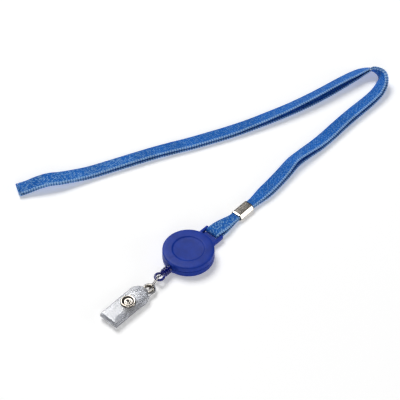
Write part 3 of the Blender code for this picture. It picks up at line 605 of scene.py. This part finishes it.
crimp = build_crimp()
run_a, run_b = lanyard_layers(STATION_STEP)
end_a, end_b = run_a[-1], run_b[-1]
neck = bend_between(end_a[0], end_b[0], end_a[1], end_a[3], end_a[0] - run_a[-2][0], NECK_STEPS)
strap_a, path_a, length_a = ribbon("lanyard_strap_first_run", run_a + neck, "lanyard")
strap_b, path_b, length_b = ribbon("lanyard_strap_second_run", run_b, "lanyard")
ribbon("lanyard_strap_lug_loop", lug_loop(), "lanyard")


# ---------------------------------------------------------------- reel

REEL_RADIUS, REEL_HEIGHT, PARTING, WALL = 16.0, 8.0, 4.05, 1.3
CORD_HEIGHT = 4.0
SNOUT_BASE, SNOUT_TIP = 14.9, 16.6
SNOUT_RIDGES = (5.2, 5.15, 4.55, 4.5, 4.75, 4.7, 3.95, 3.9, 4.15, 4.1, 3.3, 3.0)
BASE_THICKNESS, POST_RADIUS, POST_TOP, POST_CLEARANCE = 1.2, 2.0, 6.35, 0.3
EAR_IN, EAR_OUT, EAR_START, EAR_END, EAR_CORNER = 5.2, 6.9, 13.9, 24.5, 0.8
LUG_BOTTOM, LUG_TOP, LUG_BAR_HALF = 1.3, 3.8, 6.2
LUG_WEB_TOP, LUG_WEB_END, LUG_WEB_INNER_RADIUS = 2.4, 20.7, 15.0
RECESS_FLOOR = 7.5


def snout(upper):
    """Half of the ridged cord outlet, with rounded ridges."""
    seam = CORD_HEIGHT + (0.25 if upper else -0.15)
    start, low, high = (0, seam, 7.4) if upper else (180, 0.5, seam)
    rings = []
    for i, radius in enumerate(SNOUT_RIDGES):
        y = -(SNOUT_BASE + (SNOUT_TIP - SNOUT_BASE) * i / (len(SNOUT_RIDGES) - 1))
        ring = []
        for k in range(37):
            a = math.radians(start + 180 * k / 36)
            ring.append((radius * math.cos(a), y, min(max(CORD_HEIGHT + radius * math.sin(a), low), high)))
        rings.append(ring)
    return skin(rings)


def outlet_bore():
    """What is cut out for the cord: wide inside the reel and narrow at the outlet's mouth."""
    profile = [(0, 12), (3.1, 12), (3.1, 14.4), (0.75, 15.9), (0.75, 20), (0, 20)]
    return moved(rotated(lathe(profile, 32), math.pi / 2, "X"), (0, 0, CORD_HEIGHT))


def block(x0, x1, y0, y1, z0, z1, radius):
    """A block with rounded upright and level edges."""
    outline = eased([(x0, y0, radius), (x1, y0, radius), (x1, y1, radius), (x0, y1, radius)], steps=4)
    cx, cy = (x0 + x1) / 2, (y0 + y1) / 2
    rings = []
    levels = [(0.3, z0), (0.09, z0 + 0.09), (0, z0 + 0.3), (0, z1 - 0.3), (0.09, z1 - 0.09), (0.3, z1)]
    for inset, z in levels:
        sx, sy = 1 - inset / ((x1 - x0) / 2), 1 - inset / ((y1 - y0) / 2)
        rings.append([(cx + (x - cx) * sx, cy + (y - cy) * sy, z) for x, y in outline])
    return skin(rings)


def build_reel_back():
    """The back shell in one profile with its post, the lanyard lug and half of the cord outlet."""
    top = PARTING - 0.15
    inner = REEL_RADIUS - WALL
    corners = [(0, 0, 0), (REEL_RADIUS, 0, 0.8), (REEL_RADIUS, top, 0.2), (inner, top, 0.15),
               (inner, BASE_THICKNESS, 0.4), (POST_RADIUS, BASE_THICKNESS, 0.3), (POST_RADIUS, POST_TOP, 0.3),
               (0, POST_TOP, 0)]
    shell = lathe(eased(corners, closed=False), 160)
    ears = [block(x0, x1, EAR_START, EAR_END, LUG_BOTTOM, LUG_TOP, EAR_CORNER)
            for x0, x1 in ((-EAR_OUT, -EAR_IN), (EAR_IN, EAR_OUT))]
    rod = lathe([(0, -LUG_BAR_HALF), (LUG_BAR_RADIUS, -LUG_BAR_HALF), (LUG_BAR_RADIUS, LUG_BAR_HALF),
                 (0, LUG_BAR_HALF)], 32)
    rod = moved(rotated(rod, math.pi / 2, "Y"), (0, LUG_BAR_Y, LUG_BAR_Z))
    bearings = [math.radians(a) for a in range(114, 65, -4)]
    in_wall = [(LUG_WEB_INNER_RADIUS * math.cos(a), LUG_WEB_INNER_RADIUS * math.sin(a)) for a in bearings]
    outline = in_wall + [(in_wall[-1][0], LUG_WEB_END), (in_wall[0][0], LUG_WEB_END)]
    web = skin([[(x, y, z) for x, y in outline] for z in (LUG_BOTTOM, LUG_WEB_TOP)])
    shell = joined(shell, *ears, rod, web, snout(False))
    shell = joined(shell, outlet_bore(), operation="DIFFERENCE")
    return publish("reel_back_shell", shell, "reel_plastic", "reel", ("back_cover",))


def build_reel_front():
    """The front shell in one profile with its label recess, and the other half of the outlet."""
    low = PARTING + 0.15
    inner, ceiling = REEL_RADIUS - WALL, REEL_HEIGHT - WALL
    socket = POST_RADIUS + POST_CLEARANCE
    corners = [(0, RECESS_FLOOR, 0), (9.35, RECESS_FLOOR, 0.25), (10.1, REEL_HEIGHT, 0.45),
               (14.5, 7.86, 0.8), (REEL_RADIUS - 0.1, 7.6, 0.9), (REEL_RADIUS, low, 0.2), (inner, low, 0.15),
               (inner, ceiling, 0.4), (socket, ceiling, 0.1), (socket, ceiling + 0.25, 0.1),
               (0, ceiling + 0.25, 0)]
    shell = joined(lathe(eased(corners, closed=False, steps=7), 160), snout(True))
    shell = joined(shell, outlet_bore(), operation="DIFFERENCE")
    return publish("reel_front_shell", shell, "reel_plastic", "reel", ("front_cover",))


build_reel_back()
build_reel_front()


# ---------------------------------------------------------------- plug, cord and link

PLUG_START, PLUG_END, EYE_Y, EYE_MAJOR, EYE_MINOR = 16.9, 23.4, 25.8, 2.7, 0.8
PLUG_RIBS, GROOVE_RADIUS, RIB_RADIUS = 3, 1.7, 2.7
LINK_FAR_Y, LINK_BEND_RADIUS, LINK_WIRE_RADIUS, LINK_LEAN = 33.5, 2.4, 0.45, math.radians(32)
LINK_FAR_Z = 2.75
EYELET_X, EYELET_Y, EYELET_Z = 1.1, 36.2, 2.55
CORD_RADIUS, CORD_LEAVE_RADIUS = 0.3, 13.2
CORD_BEND_Y, CORD_MOUTH_Y, CORD_REACH = 15.7, 16.5, 7.5


def build_plug():
    """The plug: a ribbed barrel turned about the cord, with an eye at its end and a bore for the cord."""
    corners = [(0, -PLUG_END, 0), (GROOVE_RADIUS, -PLUG_END, 0.3), (2.4, -PLUG_END + 0.8, 0.3)]
    pitch = (PLUG_END - PLUG_START - 1.6) / PLUG_RIBS
    for i in range(PLUG_RIBS):
        y = -PLUG_END + 1.2 + pitch * i
        corners += [(GROOVE_RADIUS, y, 0.1), (RIB_RADIUS, y + 0.3, 0.5), (RIB_RADIUS, y + pitch - 0.65, 0.5),
                    (GROOVE_RADIUS, y + pitch - 0.35, 0.1)]
    corners += [(2.1, -PLUG_START, 0.35), (0, -PLUG_START, 0)]
    barrel = moved(rotated(lathe(eased(corners, closed=False), 72), -math.pi / 2, "X"), (0, 0, CORD_HEIGHT))
    tube = [(EYE_MAJOR + EYE_MINOR * math.cos(a), EYE_MINOR * math.sin(a))
            for a in np.linspace(0, math.tau, 25)[:-1]]
    eye = moved(lathe(tube, 72), (0, -EYE_Y, CORD_HEIGHT))
    hole = lathe([(0, -9), (EYE_MAJOR - EYE_MINOR, -9), (EYE_MAJOR - EYE_MINOR, 9), (0, 9)], 72)
    bore = lathe([(0, 15), (0.5, 15), (0.5, EYE_Y), (0, EYE_Y)], 24)
    bore = moved(rotated(bore, math.pi / 2, "X"), (0, 0, CORD_HEIGHT))
    plug = joined(joined(barrel, eye), moved(hole, (0, -EYE_Y, CORD_HEIGHT)), bore, operation="DIFFERENCE")
    return publish("plug_body", plug, "plug_plastic", "end_plug", ("end_plug",))


def sweep(line, radius, sides, closed=False):
    """A round tube through points, with steady sides."""
    points = [Vector(p) for p in line]
    rings = []
    for i, p in enumerate(points):
        before = points[i - 1] if closed or i else points[0]
        after = points[(i + 1) % len(points)] if closed else points[min(i + 1, len(points) - 1)]
        along = (after - before).normalized()
        side = along.cross(Vector((1, 0, 0)) if closed else Vector((0, 0, 1))).normalized()
        up = side.cross(along)
        angles = [math.tau * k / sides for k in range(sides)]
        rings.append([p + radius * (math.cos(a) * side + math.sin(a) * up) for a in angles])
    return skin(rings, closed_path=closed)


def build_wire_link():
    """The oval link: two half turns, leaned over and aimed from the plug's eye to the eyelet."""
    near = EYE_Y + EYE_MAJOR
    line = []
    for y, way in ((near, 1), (LINK_FAR_Y, -1)):
        for i in range(25):
            a = math.pi * i / 24
            line.append((0, -y + way * LINK_BEND_RADIUS * math.sin(a), way * LINK_BEND_RADIUS * math.cos(a)))
    link = rotated(sweep(line, LINK_WIRE_RADIUS, 18, closed=True), LINK_LEAN, "Y")
    link = rotated(link, math.atan2(CORD_HEIGHT - LINK_FAR_Z, LINK_FAR_Y - near), "X", (0, -near, 0))
    link = rotated(link, math.atan2(EYELET_X, EYELET_Y - near), "Z", (0, -near, 0))
    return publish("link_wire", moved(link, (0, 0, CORD_HEIGHT)), "bright_wire", "wire_link", ("wire_link",))


def build_cord_lead():
    """The pull cord: it starts inside the reel and runs out through the outlet into the plug's bore."""
    swing = math.acos(CORD_LEAVE_RADIUS / SNOUT_TIP)
    start = Vector((-math.sin(swing), -math.cos(swing), 0)) * CORD_LEAVE_RADIUS
    start.z = CORD_HEIGHT
    bend = Vector((0, -CORD_BEND_Y, CORD_HEIGHT))
    line = [start.lerp(bend, t / 8) for t in range(8)]
    line += [bend + Vector((-0.03, -0.3, 0)), Vector((0, -CORD_MOUTH_Y, CORD_HEIGHT))]
    line += [Vector((0, -CORD_MOUTH_Y - CORD_REACH * t / 24, CORD_HEIGHT)) for t in range(1, 25)]
    cord = publish("pull_cord", sweep(line, CORD_RADIUS, 10), "cord_nylon", None, ("cord_lead",))
    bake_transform(cord)


build_plug()
build_wire_link()
build_cord_lead()


# ---------------------------------------------------------------- clear strap, eyelet and snap

STRAP_WIDTH, VINYL, LOWER_Z, UPPER_Z = 12.7, 0.8, 1.25, 4.45
SNAP_Y, FOLD_Y, FLAP_END_Y = 53.0, 68.7, 38.4
EYELET_HOLE, EYELET_FLANGE = 2.15, 3.5
NECK_HALF_WIDTH, NECK_END_Y, SHOULDER_Y = 4.3, 39.5, 45.0


def lower_leg_line(y):
    """x and z of the lower leg, which skews and lifts towards its eyelet."""
    x = EYELET_X * eased_share((SNAP_Y - y) / (SNAP_Y - EYELET_Y))
    return x, LOWER_Z + (EYELET_Z - LOWER_Z) * eased_share((SNAP_Y - 6 - y) / (SNAP_Y - 9 - EYELET_Y))


def build_vinyl_strap():
    """One strip: the lower leg, the fold and the flap, with soft edges."""
    half = STRAP_WIDTH / 2

    def leg(end_y, end_half, place):
        """Stations (middle, half width, up) from a rounded end to the fold."""
        arc = [math.pi / 2 * i / 20 for i in range(21)]
        widths = [(end_y + end_half - end_half * math.cos(a), end_half * math.sin(a)) for a in arc]
        if end_half < half:
            for t in (i / 16 for i in range(17)):
                y = NECK_END_Y + (SHOULDER_Y - NECK_END_Y) * t
                widths.append((y, end_half + (half - end_half) * eased_share(t)))
        last = widths[-1][0]
        widths += [(last + (FOLD_Y - last) * i / 24, half) for i in range(1, 25)]
        stations = []
        for y, width in widths:
            x, z = place(y)
            stations.append((Vector((x, -y, z)), max(0.9, width), Vector((0, 0, 1))))
        return stations

    lower = leg(EYELET_Y - NECK_HALF_WIDTH, NECK_HALF_WIDTH, lower_leg_line)
    upper = leg(FLAP_END_Y, half, lambda y: (0.0, UPPER_Z))
    centre, radius = (LOWER_Z + UPPER_Z) / 2, (UPPER_Z - LOWER_Z) / 2
    fold = []
    for i in range(1, 24):
        a = -math.pi / 2 - math.pi * i / 24
        fold.append((Vector((0, -FOLD_Y + radius * math.cos(a), centre + radius * math.sin(a))), half,
                     Vector((0, -math.cos(a), -math.sin(a)))))
    line = lower + fold + [(p, width, -n) for p, width, n in upper[::-1]]
    rings = []
    for place, width, normal in line:
        t = VINYL / 2
        section = eased([(width, -t, 0.28), (width, t, 0.28), (-width, t, 0.28), (-width, -t, 0.28)], steps=3)
        rings.append([place + Vector((x, 0, 0)) + normal * z for x, z in section])
    strap = skin(rings)
    cuts = []
    holes = [(EYELET_X, EYELET_Y, EYELET_HOLE + 0.65, -1, 3.6), (0, SNAP_Y, 1.5, -1, 3.0),
             (0, SNAP_Y, 2.0, 3.4, 9)]
    for x, y, r, low, high in holes:
        cuts.append(moved(lathe([(0, low), (r, low), (r, high), (0, high)], 48), (x, -y, 0)))
    strap = joined(strap, *cuts, operation="DIFFERENCE")
    strap = publish("vinyl_strap", strap, "clear_vinyl", None,
                    ("badge_strap_lower_leg", "badge_strap_fold", "badge_strap_flap"), 40)
    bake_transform(strap)


def turned_metal(name, corners, at, body, node):
    """A small pressed ring or cap, turned about its own upright axis."""
    poled = corners[0][0] == 0
    part = lathe(eased(corners, closed=not poled, steps=4), 72)
    publish(name, moved(part, at), "nickel", body, (node,), 36)


def build_fittings():
    """The eyelet with its washer, and the snap's four pieces; each profile is (radius, height, rounding)."""
    at_eyelet = (EYELET_X, -EYELET_Y, EYELET_Z)
    under, top, foot = 0.7, 1.25, -1.1
    inner, barrel = EYELET_HOLE, EYELET_HOLE + 0.35
    turned_metal("eyelet_ring", [
        (inner, foot, 0.1), (inner, top - 0.35, 0.2), (inner + 0.45, top, 0.35),
        (EYELET_FLANGE - 0.35, top - 0.1, 0.3), (EYELET_FLANGE, under + 0.12, 0.15),
        (EYELET_FLANGE - 0.1, under, 0.05), (barrel, under, 0.05), (barrel, foot, 0.1)],
        at_eyelet, "badge_strap", "strap_eyelet")
    washer = EYELET_HOLE + 0.65
    turned_metal("eyelet_washer_ring", [
        (washer, -1.15, 0.1), (EYELET_FLANGE - 0.2, -1.15, 0.12), (EYELET_FLANGE, -0.9, 0.1),
        (EYELET_FLANGE, -0.7, 0.1), (washer, -0.7, 0.1)], at_eyelet, "badge_strap", "strap_eyelet_washer")
    flange, foot = UPPER_Z + VINYL / 2 + 0.3, UPPER_Z - VINYL / 2 - 0.45
    turned_metal("snap_cap_ring", [
        (0.55, foot, 0.08), (0.55, flange + 0.3, 0.15), (1.1, flange + 0.78, 0.3), (1.6, flange + 0.7, 0.3),
        (2.0, flange + 0.1, 0.12), (2.4, flange + 0.1, 0.12), (3.7, flange + 0.76, 0.4),
        (4.25, flange + 0.8, 0.35), (4.7, flange + 0.35, 0.3), (4.7, flange, 0.1),
        (1.65, flange, 0.04), (1.65, foot, 0.08)],
        (0, -SNAP_Y, 0), "strap_flap", "snap_cap")
    top = UPPER_Z - VINYL / 2 - 0.3
    turned_metal("snap_socket_ring", [
        (1.95, top, 0.05), (4.4, top, 0.1), (4.5, top - 0.3, 0.12), (3.2, top - 0.75, 0.25),
        (2.9, top - 1.1, 0.12), (2.45, top - 1.1, 0.1), (2.3, top - 0.9, 0.1),
        (2.45, top - 0.55, 0.15), (1.95, top - 0.4, 0.1)],
        (0, -SNAP_Y, 0), "strap_flap", "snap_socket")
    base, head = LOWER_Z + VINYL / 2 + 0.3, UPPER_Z - VINYL / 2 - 1.25
    turned_metal("snap_stud_ring", [
        (1.1, base, 0.05), (4.2, base, 0.1), (4.2, base + 0.3, 0.15), (2.2, base + 0.45, 0.3),
        (1.6, base + 0.5, 0.15), (1.6, head - 0.1, 0.08), (1.75, head + 0.1, 0.1),
        (1.6, head + 0.35, 0.12), (1.1, head + 0.35, 0.08)],
        (0, -SNAP_Y, 0), "badge_strap", "snap_stud")
    high, top = LOWER_Z - VINYL / 2 - 0.3, LOWER_Z + VINYL / 2 + 0.9
    turned_metal("snap_post_base", [
        (0, 0.05, 0), (4.0, 0.05, 0.2), (4.1, 0.25, 0.15), (4.1, high, 0.1), (0.8, high, 0.1),
        (0.8, top, 0.15), (0, top, 0)], (0, -SNAP_Y, 0), "badge_strap", "snap_post")


build_vinyl_strap()
build_fittings()


# ---------------------------------------------------------------- carried-over CAD nodes

KEPT = {"spool": "spool_plastic", "spring_cover_disc": "spool_plastic", "mainspring": "spring_steel",
        "cord_winding": "cord_nylon", "cord_knot": "cord_nylon"}
for node, slot in KEPT.items():
    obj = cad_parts[node]
    for material_slot in obj.material_slots:
        material_slot.material = LOOKS[slot]


# ---------------------------------------------------------------- stage

def build_stage():
    """The floor, the sky and the lights, which are not part of the object."""
    bm = bmesh.new()
    bmesh.ops.create_grid(bm, x_segments=8, y_segments=8, size=FLOOR_HALF_WIDTH)
    mesh = bpy.data.meshes.new("floor")
    bm.to_mesh(mesh)
    bm.free()
    mesh.materials.append(floor_paper())
    floor = bpy.data.objects.new("floor", mesh)
    floor.location.z = FLOOR_Z
    bpy.context.scene.collection.objects.link(floor)
    world = bpy.data.worlds.new("studio")
    world.use_nodes = True
    tree = world.node_tree
    height = tree.nodes.new("ShaderNodeSeparateXYZ")
    tree.links.new(tree.nodes.new("ShaderNodeTexCoord").outputs["Generated"], height.inputs[0])
    shade = tree.nodes.new("ShaderNodeMapRange")
    for index, value in enumerate(SKY_BAND + SKY_STRENGTH, start=1):
        shade.inputs[index].default_value = value
    tree.links.new(height.outputs[2], shade.inputs[0])
    tree.links.new(shade.outputs[0], tree.nodes["Background"].inputs[1])
    bpy.context.scene.world = world
    for row in LIGHTS:
        add_area_light(*row)


build_stage()
